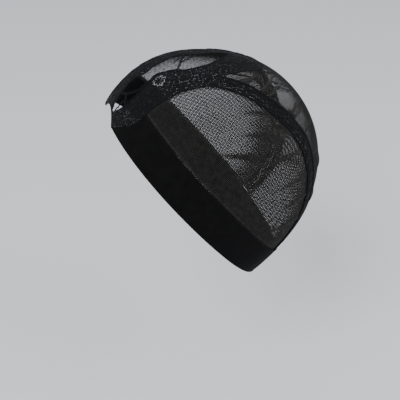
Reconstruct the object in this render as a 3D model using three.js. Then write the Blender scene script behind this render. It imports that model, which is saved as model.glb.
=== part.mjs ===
// A mesh wig cap in the form it has on a head: a wide elastic band from temple to temple round
// the nape, net side panels, a lace panel over the crown, two narrow trims down the back of the
// head and a pleated net panel between them.
//
// Millimetres, +Z up. The wearer faces -Y and the wearer's left is +X. The origin is the point
// where the crown of the head touches the inside of the cap.
import * as THREE from 'three';
import { mergeVertices } from 'three/addons/utils/BufferGeometryUtils.js';

// ---- Driving dimensions ---------------------------------------------------------------------

// The head form that the cloth lies on: half axes of a squarish ellipsoid about its centre.
const headHalfWidth = 75.5;
const headFront = 83.5;
const headBack = 100.5;
const headAbove = 95.5;
const headBelow = 114.5;
const headSquareness = 2.2;

// Below the back of the head the cloth spans straight to the nape, as the side of a cone.
const napeLeanDegrees = 36.7;
const napeReach = 93.5;
const napeRoundness = 0.85;
const napeBlend = 14;

// The rim lies in a plane that falls from the forehead to the nape.
const rimLeanDegrees = 50.9;
const rimBelowCentre = 20.8;
const hairlineRise = 6.5;

const bandHeight = 29;
const trimWidth = 11.2;
const laceTwist = 6.5;
const laceBackDegrees = 98;
const lobeDegrees = 23.5;

const netThickness = 1.0;
const laceThickness = 1.3;
const trimThickness = 1.6;
const bandThickness = 1.8;
const seamGap = 0.4;

// Half width over the crown, from the lace's centre line to the upper edge of the side net.
// Degrees run round the head in its middle plane: 0 forward, 90 up, 180 back.
const crownEdge = [
  { degrees: 30, halfWidth: 9.5 },
  { degrees: 37, halfWidth: 19.5 },
  { degrees: 41, halfWidth: 28.5 },
  { degrees: 46, halfWidth: 36 },
  { degrees: 52, halfWidth: 39.5 },
  { degrees: 58, halfWidth: 39 },
  { degrees: 71, halfWidth: 37 },
  { degrees: 83, halfWidth: 34.8 },
  { degrees: 92, halfWidth: 34.6 },
  { degrees: 100, halfWidth: 36.8 },
  { degrees: 112, halfWidth: 41.8 },
  { degrees: 122, halfWidth: 46.9 },
  { degrees: 131, halfWidth: 50.2 },
  { degrees: 141, halfWidth: 52.5 },
  { degrees: 156, halfWidth: 53.9 },
  { degrees: 180, halfWidth: 54 },
  { degrees: 205, halfWidth: 56 },
  { degrees: 235, halfWidth: 61 },
];

// Gathers in each side net. "along" is the fraction of the panel's length from the temple, and
// "run" how far down from the trim the gather dies out, as a fraction of the panel's depth.
const sideGathers = [
  { along: 0.425, height: 0.9, halfWidth: 2.2, run: 0.3 },
  { along: 0.5, height: 1.5, halfWidth: 2.2, run: 0.42 },
  { along: 0.545, height: 1.1, halfWidth: 2.6, run: 0.5 },
  { along: 0.605, height: 1.6, halfWidth: 2.4, run: 0.55 },
  { along: 0.67, height: 1.2, halfWidth: 3.2, run: 0.6 },
  { along: 0.74, height: 1.4, halfWidth: 3.6, run: 0.7 },
  { along: 0.81, height: 1.6, halfWidth: 3.6, run: 0.85 },
  { along: 0.88, height: 1.3, halfWidth: 3.0, run: 0.95 },
];

// Pleats across the back net. "up" is the fraction of the panel's height from the nape, and
// "run" how far in from each trim the pleat dies out, as a fraction of the panel's width.
const backPleats = [
  { up: 0.12, height: 1.3, halfWidth: 3.2, run: 0.45 },
  { up: 0.25, height: 1.5, halfWidth: 3.4, run: 0.5 },
  { up: 0.38, height: 1.3, halfWidth: 3.0, run: 0.42 },
  { up: 0.51, height: 1.4, halfWidth: 2.8, run: 0.4 },
  { up: 0.635, height: 1.6, halfWidth: 2.4, run: 0.42 },
  { up: 0.77, height: 1.4, halfWidth: 2.2, run: 0.36 },
  { up: 0.88, height: 1.3, halfWidth: 2.2, run: 0.4 },
];

const blackBand = { color: 0x0e0e10, roughness: 0.85, metalness: 0 };
const blackNet = { color: 0x1a1a1c, roughness: 0.7, metalness: 0 };
const blackLace = { color: 0x141518, roughness: 0.75, metalness: 0 };

// ---- The head form --------------------------------------------------------------------------

const radians = THREE.MathUtils.degToRad;
const napeLean = radians(napeLeanDegrees);
const rimLean = radians(rimLeanDegrees);
const headCentre = new THREE.Vector3(0, 0, -headAbove);
const rimNormal = new THREE.Vector3(0, Math.sin(rimLean), Math.cos(rimLean));
const rimForward = new THREE.Vector3(0, -Math.cos(rimLean), Math.sin(rimLean));

// A width in millimetres over the crown, as an angle about the head's centre.
const crownRadius = 94;
const widthAngle = (width) => width / crownRadius;

// 1 on the head's surface, less inside and more outside; the point is taken from headCentre.
function headField(point) {
  const length = point.y < 0 ? headFront : headBack;
  const height = point.z < 0 ? headBelow : headAbove;
  const dome =
    Math.abs(point.x / headHalfWidth) ** headSquareness +
    Math.abs(point.y / length) ** headSquareness +
    Math.abs(point.z / height) ** headSquareness;
  const outward = Math.hypot(Math.max(point.y, 0), napeRoundness * point.x);
  const cone = outward * Math.cos(napeLean) - point.z * Math.sin(napeLean);
  const taper = Math.max(cone, 0) / napeReach;
  return (dome ** (napeBlend / headSquareness) + taper ** napeBlend) ** (1 / napeBlend);
}

// The point of the head's surface in the direction of the given one.
function ontoHead(point) {
  return point.clone().divideScalar(headField(point));
}

function headNormal(point) {
  const step = 0.05;
  const slope = (axis) => {
    const ahead = point.clone().addScaledVector(axis, step);
    const behind = point.clone().addScaledVector(axis, -step);
    return headField(ahead) - headField(behind);
  };
  const normal = new THREE.Vector3(
    slope(new THREE.Vector3(1, 0, 0)),
    slope(new THREE.Vector3(0, 1, 0)),
    slope(new THREE.Vector3(0, 0, 1)),
  );
  return normal.normalize();
}

const clamp01 = (value) => THREE.MathUtils.clamp(value, 0, 1);
const heightAboveRim = (point) => point.dot(rimNormal) + rimBelowCentre;

// Where test() first turns true between low and high.
function findChange(low, high, test) {
  let before = low;
  let after = high;
  for (let pass = 0; pass < 40; pass += 1) {
    const middle = (before + after) / 2;
    if (test(middle)) {
      after = middle;
    } else {
      before = middle;
    }
  }
  return (before + after) / 2;
}

// The surface point at an angle round the rim (0 forehead, 90 degrees left ear) and a height.
function rimPoint(angle, height) {
  const axisPoint = rimNormal.clone().multiplyScalar(height - rimBelowCentre);
  const outward = rimForward.clone().multiplyScalar(Math.cos(angle));
  outward.x = Math.sin(angle);
  const reach = findChange(0, 200, (distance) => {
    return headField(axisPoint.clone().addScaledVector(outward, distance)) > 1;
  });
  return axisPoint.addScaledVector(outward, reach);
}

function rimAngle(point) {
  return Math.atan2(point.x, point.dot(rimForward));
}

// The surface point at an angle round the head's middle plane and a width to its left.
function crownPoint(degrees, width) {
  const round = radians(degrees);
  const side = widthAngle(width);
  return ontoHead(new THREE.Vector3(
    Math.sin(side),
    -Math.cos(side) * Math.cos(round),
    Math.cos(side) * Math.sin(round),
  ));
}

// ---- The seam lines -------------------------------------------------------------------------

// A smooth curve through the rows of a table.
function tableValue(rows, key, value, input) {
  const last = rows.length - 1;
  const index = THREE.MathUtils.clamp(rows.findIndex((row) => row[key] > input) - 1, 0, last - 1);
  const chord = (i) => (rows[i + 1][value] - rows[i][value]) / (rows[i + 1][key] - rows[i][key]);
  const slope = (i) => {
    if (i === 0) return chord(0);
    if (i === last) return chord(last - 1);
    return (chord(i - 1) + chord(i)) / 2;
  };
  const span = rows[index + 1][key] - rows[index][key];
  const t = clamp01((input - rows[index][key]) / span);
  const start = rows[index][value];
  const end = rows[index + 1][value];
  const bend = t * t * (3 - 2 * t);
  const lead = t * (1 - t) * (1 - t) * slope(index) * span;
  const trail = t * t * (t - 1) * slope(index + 1) * span;
  return start + (end - start) * bend + lead + trail;
}

// The cap sits a little twisted to the wearer's left, less and less towards the nape.
const twistFadeStart = 100;
const twistFadeEnd = 160;
function laceCentre(degrees) {
  return laceTwist * (1 - THREE.MathUtils.smoothstep(degrees, twistFadeStart, twistFadeEnd));
}

// side is 1 for the wearer's left and -1 for the right; outset moves the edge away from the lace.
function crownEdgePoint(degrees, side, outset) {
  const halfWidth = tableValue(crownEdge, 'degrees', 'halfWidth', degrees) + outset;
  return crownPoint(degrees, laceCentre(degrees) + side * halfWidth);
}

function degreesAtHeight(side, outset, height, low, high) {
  const rising = heightAboveRim(crownEdgePoint(high, side, outset)) > height;
  return findChange(low, high, (degrees) => {
    const above = heightAboveRim(crownEdgePoint(degrees, side, outset)) > height;
    return above === rising;
  });
}

const templeSearch = [31, 75];
const napeSearch = [180, 234];
const templeDegrees = (side, outset, height) => degreesAtHeight(side, outset, height, ...templeSearch);
const napeDegrees = (side, outset, height) => degreesAtHeight(side, outset, height, ...napeSearch);

const laceBackHalfWidth = tableValue(crownEdge, 'degrees', 'halfWidth', laceBackDegrees);
const lobeHalfWidth = laceBackHalfWidth - trimWidth - seamGap;

// How many degrees further back a line lies that keeps a distance from the lobe's edge.
function lobeShift(across, outset) {
  const lobeLength = crownRadius * radians(lobeDegrees);
  const slope = (2 * across * lobeLength) / lobeHalfWidth;
  return THREE.MathUtils.radToDeg(widthAngle(outset)) * Math.hypot(1, slope);
}

// The steps along the lobe that both of the pieces that meet there share.
const lobeSteps = [0, 0.06, 0.15, 0.26, 0.36, 0.43, 0.5, 0.57, 0.64, 0.74, 0.85, 0.94, 1];

// The lace's rounded back end, from the right trim (across = -1) to the left one (across = 1).
function lobePoint(across, halfWidth, outset) {
  const bulge = lobeDegrees * (1 - across * across);
  const degrees = laceBackDegrees + bulge + lobeShift(across, outset);
  return crownPoint(degrees, laceCentre(degrees) + across * halfWidth);
}

// ---- Cloth solids ---------------------------------------------------------------------------

const fractions = (count) => Array.from({ length: count + 1 }, (_, index) => index / count);

// A curve that is walked at an even pace: t from 0 to 1 gives equal lengths.
function evenPace(curve) {
  const count = 160;
  const points = fractions(count).map(curve);
  const lengths = [0];
  for (let index = 1; index <= count; index += 1) {
    lengths.push(lengths[index - 1] + points[index].distanceTo(points[index - 1]));
  }
  const total = lengths[count];
  const walk = (t) => {
    const target = t * total;
    const next = Math.max(1, lengths.findIndex((length) => length >= target - 1e-9));
    const step = lengths[next] - lengths[next - 1];
    return curve((next - 1 + clamp01((target - lengths[next - 1]) / step)) / count);
  };
  return Object.assign(walk, { total });
}

// A patch of the head's surface between four edges that meet at its corners.
function edgedPatch(near, far, start, end) {
  const corners = [near(0), near(1), far(0), far(1)];
  return (u, v) => {
    const point = near(u).multiplyScalar(1 - v);
    point.addScaledVector(far(u), v);
    point.addScaledVector(start(v), 1 - u);
    point.addScaledVector(end(v), u);
    point.addScaledVector(corners[0], -(1 - u) * (1 - v));
    point.addScaledVector(corners[1], -u * (1 - v));
    point.addScaledVector(corners[2], -(1 - u) * v);
    point.addScaledVector(corners[3], -u * v);
    return ontoHead(point);
  };
}

// A closed wall of cloth on the head: patch(u, v) gives its inner side, fold(u, v) the height
// that a gather or pleat lifts it.
function clothGeometry(patch, columns, rows, thickness, fold = () => 0) {
  const positions = [];
  const addSheet = (lift) => {
    const first = positions.length / 3;
    for (const v of rows) {
      for (const u of columns) {
        const inner = patch(u, v);
        const out = headNormal(inner).multiplyScalar(lift + fold(u, v));
        positions.push(...inner.add(out).add(headCentre).toArray());
      }
    }
    return (column, row) => first + row * columns.length + column;
  };
  const inside = addSheet(0);
  const outside = addSheet(thickness);
  const lastColumn = columns.length - 1;
  const lastRow = rows.length - 1;
  const indices = [];
  const addQuad = (a, b, c, d) => indices.push(a, b, c, a, c, d);
  for (let row = 0; row < lastRow; row += 1) {
    for (let column = 0; column < lastColumn; column += 1) {
      const corners = [[column, row], [column + 1, row], [column + 1, row + 1], [column, row + 1]];
      addQuad(...corners.map((corner) => outside(...corner)));
      addQuad(...corners.reverse().map((corner) => inside(...corner)));
    }
  }
  for (let column = 0; column < lastColumn; column += 1) {
    const next = column + 1;
    addQuad(inside(column, 0), inside(next, 0), outside(next, 0), outside(column, 0));
    addQuad(
      outside(column, lastRow), outside(next, lastRow), inside(next, lastRow), inside(column, lastRow),
    );
  }
  for (let row = 0; row < lastRow; row += 1) {
    const next = row + 1;
    addQuad(outside(0, row), outside(0, next), inside(0, next), inside(0, row));
    addQuad(
      inside(lastColumn, row), inside(lastColumn, next), outside(lastColumn, next), outside(lastColumn, row),
    );
  }
  return closedGeometry(positions, indices);
}

// Welds a shell's shared points, drops the triangles that this empties and faces it outwards.
function closedGeometry(positions, indices) {
  const loose = new THREE.BufferGeometry();
  loose.setAttribute('position', new THREE.Float32BufferAttribute(positions, 3));
  loose.setIndex(indices);
  const welded = mergeVertices(loose, 1e-3);
  const points = welded.getAttribute('position');
  const corner = (index) => new THREE.Vector3().fromBufferAttribute(points, index);
  const kept = [];
  let volume = 0;
  for (let first = 0; first < welded.index.count; first += 3) {
    const [a, b, c] = [0, 1, 2].map((step) => welded.index.getX(first + step));
    if (a !== b && b !== c && c !== a) {
      kept.push([a, b, c]);
      volume += corner(a).dot(corner(b).cross(corner(c)));
    }
  }
  welded.setIndex(kept.flatMap(([a, b, c]) => (volume > 0 ? [a, b, c] : [a, c, b])));
  welded.computeVertexNormals();
  return welded;
}

// The rounded ridge of a gather at a distance from its middle line.
function ridge(distance, halfWidth) {
  const t = clamp01(Math.abs(distance) / halfWidth);
  return 0.5 + 0.5 * Math.cos(Math.PI * t);
}

// Even steps with extra ones across each fold's middle and both of its feet.
function stepsWithFolds(count, folds, key, length) {
  const feet = folds.flatMap((fold) => {
    const reach = fold.halfWidth / length;
    return [fold[key] - reach, fold[key] - reach / 2, fold[key], fold[key] + reach / 2, fold[key] + reach];
  });
  const clear = (step) => feet.every((foot) => Math.abs(step - foot) > 1.8 / length);
  const even = fractions(count).filter((step) => step === 0 || step === 1 || clear(step));
  return [...even, ...feet].sort((a, b) => a - b);
}

// ---- The pieces -----------------------------------------------------------------------------

function elasticBand() {
  const left = (height) => rimAngle(crownEdgePoint(templeDegrees(1, seamGap, height), 1, seamGap));
  const right = (height) => rimAngle(crownEdgePoint(templeDegrees(-1, seamGap, height), -1, seamGap));
  const patch = (u, v) => {
    const height = bandHeight * v;
    return rimPoint(THREE.MathUtils.lerp(left(height), right(height) + 2 * Math.PI, u), height);
  };
  return clothGeometry(patch, fractions(60), fractions(5), bandThickness);
}

function sideNet(side) {
  const base = bandHeight + seamGap;
  const front = templeDegrees(side, seamGap, base);
  const back = napeDegrees(side, seamGap, base);
  const frontAngle = rimAngle(crownEdgePoint(front, side, seamGap));
  const backAngle = rimAngle(crownEdgePoint(back, side, seamGap));
  const lower = evenPace((t) => rimPoint(THREE.MathUtils.lerp(frontAngle, backAngle, t), base));
  const upper = evenPace((t) => {
    return crownEdgePoint(THREE.MathUtils.lerp(front, back, t), side, seamGap);
  });
  const patch = (u, v) => ontoHead(lower(u).lerp(upper(u), v));
  const length = upper.total;
  const fold = (u, v) => {
    const down = 1 - v;
    return sideGathers.reduce((total, gather) => {
      const ends = Math.sqrt(clamp01(down / 0.02)) * (1 - THREE.MathUtils.smoothstep(down, 0, gather.run));
      return total + gather.height * ends * ridge((u - gather.along) * length, gather.halfWidth);
    }, 0);
  };
  const columns = stepsWithFolds(20, sideGathers, 'along', length);
  const rows = [0, 0.15, 0.32, 0.48, 0.64, 0.8, 0.93, 1];
  return clothGeometry(patch, columns, rows, netThickness, fold);
}

// Above 1 the rows crowd towards the hairline, where the lace's edge bends round the band's end.
const paceFromHairline = 1.25;

function lacePanel() {
  const rightEnd = templeDegrees(-1, 0, 0);
  const leftEnd = templeDegrees(1, 0, 0);
  const rightAngle = rimAngle(crownEdgePoint(rightEnd, -1, 0));
  const leftAngle = rimAngle(crownEdgePoint(leftEnd, 1, 0));
  const hairline = (u) => {
    const rise = hairlineRise * (1 - (2 * u - 1) ** 2);
    return rimPoint(THREE.MathUtils.lerp(rightAngle, leftAngle, u), rise);
  };
  const rightEdge = (v) => {
    return crownEdgePoint(THREE.MathUtils.lerp(rightEnd, laceBackDegrees, v), -1, 0);
  };
  const leftEdge = (v) => {
    return crownEdgePoint(THREE.MathUtils.lerp(leftEnd, laceBackDegrees, v), 1, 0);
  };
  const trimShare = (laceBackHalfWidth - lobeHalfWidth) / (2 * laceBackHalfWidth);
  const backEdge = (u) => {
    const width = (2 * u - 1) * laceBackHalfWidth;
    if (Math.abs(width) < lobeHalfWidth) return lobePoint(width / lobeHalfWidth, lobeHalfWidth, 0);
    return crownPoint(laceBackDegrees, laceCentre(laceBackDegrees) + width);
  };
  const middle = lobeSteps.map((step) => trimShare + step * (1 - 2 * trimShare));
  const columns = [0, trimShare / 2, ...middle, 1 - trimShare / 2, 1];
  const patch = edgedPatch(hairline, backEdge, rightEdge, leftEdge);
  const rows = fractions(16).map((step) => step ** paceFromHairline);
  return clothGeometry(patch, columns, rows, laceThickness);
}

function backTrim(side) {
  const top = laceBackDegrees + THREE.MathUtils.radToDeg(widthAngle(seamGap));
  const edge = (inset) => {
    const bottom = napeDegrees(side, -inset, bandHeight + seamGap);
    return (t) => crownEdgePoint(THREE.MathUtils.lerp(top, bottom, t), side, -inset);
  };
  const outer = edge(0);
  const inner = edge(trimWidth);
  const patch = (u, v) => ontoHead(outer(u).lerp(inner(u), v));
  return clothGeometry(patch, fractions(32), fractions(2), trimThickness);
}

function backNet() {
  const inset = trimWidth + seamGap;
  const base = bandHeight + seamGap;
  const rightBottom = napeDegrees(-1, -inset, base);
  const leftBottom = napeDegrees(1, -inset, base);
  const cornerAngle = (side, degrees) => rimAngle(crownEdgePoint(degrees, side, -inset));
  const rightAngle = cornerAngle(-1, rightBottom) + 2 * Math.PI;
  const leftAngle = cornerAngle(1, leftBottom);
  const nape = (u) => rimPoint(THREE.MathUtils.lerp(rightAngle, leftAngle, u), base);
  const top = laceBackDegrees + lobeShift(1, seamGap);
  const topHalfWidth = tableValue(crownEdge, 'degrees', 'halfWidth', top) - inset;
  const lobe = (u) => lobePoint(2 * u - 1, topHalfWidth, seamGap);
  const edge = (side, bottom) => {
    return evenPace((v) => crownEdgePoint(THREE.MathUtils.lerp(bottom, top, v), side, -inset));
  };
  const leftEdge = edge(1, leftBottom);
  const patch = edgedPatch(nape, lobe, edge(-1, rightBottom), leftEdge);
  const length = leftEdge.total;
  const fold = (u, v) => {
    const fromTrim = Math.min(u, 1 - u);
    return backPleats.reduce((total, pleat) => {
      const ends = Math.sqrt(clamp01(fromTrim / 0.03)) * (1 - THREE.MathUtils.smoothstep(fromTrim, 0, pleat.run));
      return total + pleat.height * ends * ridge((v - pleat.up) * length, pleat.halfWidth);
    }, 0);
  };
  const rows = stepsWithFolds(18, backPleats, 'up', length);
  return clothGeometry(patch, lobeSteps, rows, netThickness, fold);
}

function piece(name, geometry, finish) {
  const mesh = new THREE.Mesh(geometry, new THREE.MeshStandardMaterial(finish));
  mesh.name = name;
  return mesh;
}

const cap = new THREE.Group();
cap.add(piece('elastic_band', elasticBand(), blackBand));
cap.add(piece('lace_panel', lacePanel(), blackLace));
cap.add(piece('side_net_left', sideNet(1), blackNet));
cap.add(piece('side_net_right', sideNet(-1), blackNet));
cap.add(piece('back_trim_left', backTrim(1), blackLace));
cap.add(piece('back_trim_right', backTrim(-1), blackLace));
cap.add(piece('back_net', backNet(), blackNet));

export default cap;
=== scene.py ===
"""Looks of the mesh wig cap: net, lace, trims and elastic band, built as real threads and cloth
on the same head form as the part's source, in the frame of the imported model."""

import math

import bpy
import numpy as np
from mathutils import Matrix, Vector


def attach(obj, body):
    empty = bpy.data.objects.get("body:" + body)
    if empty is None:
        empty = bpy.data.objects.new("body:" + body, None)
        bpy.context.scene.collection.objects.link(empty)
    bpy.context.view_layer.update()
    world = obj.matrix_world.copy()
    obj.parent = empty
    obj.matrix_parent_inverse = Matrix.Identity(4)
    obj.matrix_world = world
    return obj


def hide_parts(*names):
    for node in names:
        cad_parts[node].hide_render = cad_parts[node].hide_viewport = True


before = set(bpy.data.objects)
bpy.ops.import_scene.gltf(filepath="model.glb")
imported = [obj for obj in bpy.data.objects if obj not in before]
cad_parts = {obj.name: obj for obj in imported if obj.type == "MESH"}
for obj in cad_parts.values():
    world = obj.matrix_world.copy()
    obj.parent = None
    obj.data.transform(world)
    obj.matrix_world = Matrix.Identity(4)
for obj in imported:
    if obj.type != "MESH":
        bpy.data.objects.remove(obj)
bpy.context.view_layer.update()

# ---- Camera -------------------------------------------------------------------------------------

VIEW_AZIMUTH = math.radians(80)
VIEW_ELEVATION = math.radians(30)
VIEW_DISTANCE = 0.5983
VIEW_LENS = 63
VIEW_TARGET = Vector((0.0025, 0.00215, -0.1265))


def add_camera():
    back = Vector(
        (
            math.sin(VIEW_AZIMUTH) * math.cos(VIEW_ELEVATION),
            -math.cos(VIEW_AZIMUTH) * math.cos(VIEW_ELEVATION),
            math.sin(VIEW_ELEVATION),
        )
    )
    data = bpy.data.cameras.new("camera")
    data.lens = VIEW_LENS
    data.sensor_width = 36
    data.clip_start, data.clip_end = 0.01, 50
    camera = bpy.data.objects.new("camera", data)
    bpy.context.scene.collection.objects.link(camera)
    camera.location = VIEW_TARGET + back * VIEW_DISTANCE
    camera.rotation_mode = "QUATERNION"
    camera.rotation_quaternion = (-back).to_track_quat("-Z", "Y")
    bpy.context.scene.camera = camera


add_camera()

# ---- Tables -------------------------------------------------------------------------------------


def named_rows(columns, *rows):
    """A table's rows, each a dictionary of its named columns."""
    return [dict(zip(columns.split(), row)) for row in rows]


# ---- The head form, in millimetres about its centre, as in the part's source --------------------

HEAD_HALF_WIDTH, HEAD_FRONT, HEAD_BACK, HEAD_ABOVE, HEAD_BELOW = 75.5, 83.5, 100.5, 95.5, 114.5
HEAD_SQUARENESS = 2.2
NAPE_LEAN = math.radians(36.7)
NAPE_REACH, NAPE_ROUNDNESS, NAPE_BLEND = 93.5, 0.85, 14
RIM_LEAN = math.radians(50.9)
RIM_BELOW_CENTRE = 20.8
HAIRLINE_RISE = 6.5
BAND_HEIGHT = 29
TRIM_WIDTH = 11.2
SEAM_GAP = 0.4
LACE_TWIST = 6.5
LACE_BACK = 98
LOBE_BULGE = 23.5
CROWN_RADIUS = 94
# The lace's twist fades out between these degrees.
TWIST_FADE = (100, 160)

# The half width from the lace's centre line to the side net, by degrees round the middle plane.
CROWN_EDGE = named_rows(
    "degrees half_width",
    (30, 9.5), (37, 19.5), (41, 28.5), (46, 36), (52, 39.5), (58, 39),
    (71, 37), (83, 34.8), (92, 34.6), (100, 36.8), (112, 41.8), (122, 46.9),
    (131, 50.2), (141, 52.5), (156, 53.9), (180, 54), (205, 56), (235, 61),
)

HEAD_CENTRE = np.array([0, 0, -HEAD_ABOVE])
RIM_NORMAL = np.array([0, math.sin(RIM_LEAN), math.cos(RIM_LEAN)])
RIM_FORWARD = np.array([0, -math.cos(RIM_LEAN), math.sin(RIM_LEAN)])
RIM_LEFT = np.array([1, 0, 0])


def head_field(p):
    x, y, z = p[..., 0], p[..., 1], p[..., 2]
    length = np.where(y < 0, HEAD_FRONT, HEAD_BACK)
    height = np.where(z < 0, HEAD_BELOW, HEAD_ABOVE)
    dome = (
        np.abs(x / HEAD_HALF_WIDTH) ** HEAD_SQUARENESS
        + np.abs(y / length) ** HEAD_SQUARENESS
        + np.abs(z / height) ** HEAD_SQUARENESS
    )
    outward = np.hypot(np.maximum(y, 0), NAPE_ROUNDNESS * x)
    taper = np.maximum(outward * math.cos(NAPE_LEAN) - z * math.sin(NAPE_LEAN), 0) / NAPE_REACH
    return (dome ** (NAPE_BLEND / HEAD_SQUARENESS) + taper**NAPE_BLEND) ** (1 / NAPE_BLEND)


def onto_head(p):
    return p / head_field(p)[..., None]


def head_normal(p):
    step = 0.05
    slopes = [head_field(p + step * axis) - head_field(p - step * axis) for axis in np.eye(3)]
    normal = np.stack(slopes, axis=-1)
    return normal / np.linalg.norm(normal, axis=-1, keepdims=True)


def height_above_rim(p):
    return p @ RIM_NORMAL + RIM_BELOW_CENTRE


def rim_angle(p):
    return np.arctan2(p[..., 0], p @ RIM_FORWARD)


def rim_point(angle, height):
    """The surface point at an angle round the rim (0 forehead, pi/2 left ear) and a height."""
    angle, height = np.broadcast_arrays(np.asarray(angle, float), np.asarray(height, float))
    start = (height - RIM_BELOW_CENTRE)[..., None] * RIM_NORMAL
    outward = np.cos(angle)[..., None] * RIM_FORWARD + np.sin(angle)[..., None] * RIM_LEFT
    low, high = np.zeros(angle.shape), np.full(angle.shape, 200.0)
    for _ in range(26):
        middle = (low + high) / 2
        out = head_field(start + middle[..., None] * outward) > 1
        low, high = np.where(out, low, middle), np.where(out, middle, high)
    return start + ((low + high) / 2)[..., None] * outward


def crown_point(degrees, width):
    """The surface point at an angle round the middle plane and a width to the wearer's left."""
    round_it, side = np.broadcast_arrays(np.radians(degrees), np.asarray(width) / CROWN_RADIUS)
    return onto_head(
        np.stack(
            [np.sin(side), -np.cos(side) * np.cos(round_it), np.cos(side) * np.sin(round_it)], -1
        )
    )


def crown_degrees(p):
    degrees = np.degrees(np.arctan2(p[..., 2], -p[..., 1]))
    return np.where(degrees < -30, degrees + 360, degrees)


def crown_width(p):
    return CROWN_RADIUS * np.arctan2(p[..., 0], np.hypot(p[..., 1], p[..., 2]))


def table_value(rows, key, value, inputs):
    """A smooth curve through the rows of a table."""
    at = np.array([row[key] for row in rows], float)
    of = np.array([row[value] for row in rows], float)
    chords = np.diff(of) / np.diff(at)
    slopes = np.concatenate([chords[:1], (chords[1:] + chords[:-1]) / 2, chords[-1:]])
    index = np.clip(np.searchsorted(at, inputs, side="right") - 1, 0, len(at) - 2)
    span = at[index + 1] - at[index]
    t = np.clip((inputs - at[index]) / span, 0, 1)
    bend = t * t * (3 - 2 * t)
    lead = t * (1 - t) ** 2 * slopes[index] * span
    trail = t * t * (t - 1) * slopes[index + 1] * span
    return of[index] + (of[index + 1] - of[index]) * bend + lead + trail


def smoothstep(low, high, value):
    t = np.clip((value - low) / (high - low), 0, 1)
    return t * t * (3 - 2 * t)


def crown_edge(degrees):
    return table_value(CROWN_EDGE, "degrees", "half_width", degrees)


def lace_centre(degrees):
    return LACE_TWIST * (1 - smoothstep(*TWIST_FADE, degrees))


def crown_edge_point(degrees, side, outset):
    return crown_point(degrees, lace_centre(degrees) + side * (crown_edge(degrees) + outset))


def degrees_at_height(side, outset, height, low, high):
    """Where the crown edge crosses a height above the rim, between two angles."""
    rising = height_above_rim(crown_edge_point(high, side, outset)) > height
    for _ in range(40):
        middle = (low + high) / 2
        if (height_above_rim(crown_edge_point(middle, side, outset)) > height) == rising:
            high = middle
        else:
            low = middle
    return (low + high) / 2


def temple_degrees(side, outset, height):
    return degrees_at_height(side, outset, height, 31, 75)


def nape_degrees(side, outset, height):
    return degrees_at_height(side, outset, height, 180, 234)


LACE_BACK_HALF = float(crown_edge(LACE_BACK))
LOBE_HALF = LACE_BACK_HALF - TRIM_WIDTH - SEAM_GAP
NET_BASE = BAND_HEIGHT + SEAM_GAP


def arc_lengths(points):
    steps = np.linalg.norm(np.diff(points, axis=0), axis=-1)
    return np.concatenate([[0], np.cumsum(steps)])


def even_pace(curve, count=160):
    """A curve walked at an even pace: t from 0 to 1 gives equal lengths."""
    t = np.linspace(0, 1, count + 1)
    lengths = arc_lengths(curve(t))
    return lambda s: curve(np.interp(np.asarray(s) * lengths[-1], lengths, t))


# ---- Meshes -------------------------------------------------------------------------------------

METRES = 0.001


def turned_outwards(points, faces):
    """The faces of a closed mesh, turned round if they look inwards."""
    volume = 0.0
    for size in sorted({len(f) for f in faces}):
        group = np.array([f for f in faces if len(f) == size])
        for k in range(1, size - 1):
            a, b, c = points[group[:, 0]], points[group[:, k]], points[group[:, k + 1]]
            volume += np.einsum("ij,ij->i", a, np.cross(b, c)).sum()
    return faces if volume > 0 else [f[::-1] for f in faces]


def make_object(name, points, faces, material):
    """A mesh object from points in millimetres about the head's centre."""
    faces = turned_outwards(points, faces)
    mesh = bpy.data.meshes.new(name)
    mesh.from_pydata(((points + HEAD_CENTRE) * METRES).tolist(), [], faces)
    mesh.validate()
    mesh.polygons.foreach_set("use_smooth", [True] * len(mesh.polygons))
    mesh.materials.append(material)
    mesh.update()
    made = bpy.data.objects.new(name, mesh)
    bpy.context.scene.collection.objects.link(made)
    return made


class Shell:
    """Points and faces of many small solids, joined into one mesh."""

    def __init__(self):
        self.points, self.faces, self.count = [], [], 0

    def add(self, points, faces):
        self.points.append(points)
        self.faces.extend([[self.count + i for i in face] for face in faces])
        self.count += len(points)

    def tube(self, path, normals, radius, sides=4, closed=False, flat=1.0):
        """A thread along a path on the cloth. radius is one number or one for each point."""
        path, normals = np.asarray(path, float), np.asarray(normals, float)
        count = len(path)
        if closed:
            along = np.roll(path, -1, 0) - np.roll(path, 1, 0)
        else:
            along = np.gradient(path, axis=0)
        along /= np.linalg.norm(along, axis=1, keepdims=True) + 1e-9
        across = np.cross(along, normals)
        across /= np.linalg.norm(across, axis=1, keepdims=True) + 1e-9
        up = np.cross(across, along)
        radius = np.broadcast_to(radius, (count,))[:, None]
        turn = (np.arange(sides) + 0.5) * 2 * math.pi / sides
        rings = [
            path + radius * (math.cos(a) * across + flat * math.sin(a) * up) for a in turn
        ]
        points = np.stack(rings, 1).reshape(-1, 3)
        faces = []
        for k in range(count if closed else count - 1):
            here, there = k * sides, ((k + 1) % count) * sides
            for s in range(sides):
                n = (s + 1) % sides
                faces.append([here + s, there + s, there + n, here + n])
        if not closed:
            faces.append(list(range(sides)))
            faces.append([(count - 1) * sides + s for s in range(sides)][::-1])
        self.add(points, faces)

    def lay(self, p, lift, radius, **kind):
        """A thread along points of the head's surface, at a height over it."""
        normal = head_normal(p)
        self.tube(p + lift * normal, normal, radius, **kind)

    def build(self, name, material):
        return make_object(name, np.concatenate(self.points), self.faces, material)


# How far the knots of a cloth stray from their even places, as shares of a cell.
LACE_UNEVENNESS = 0.19
NET_UNEVENNESS = 0.09


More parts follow.
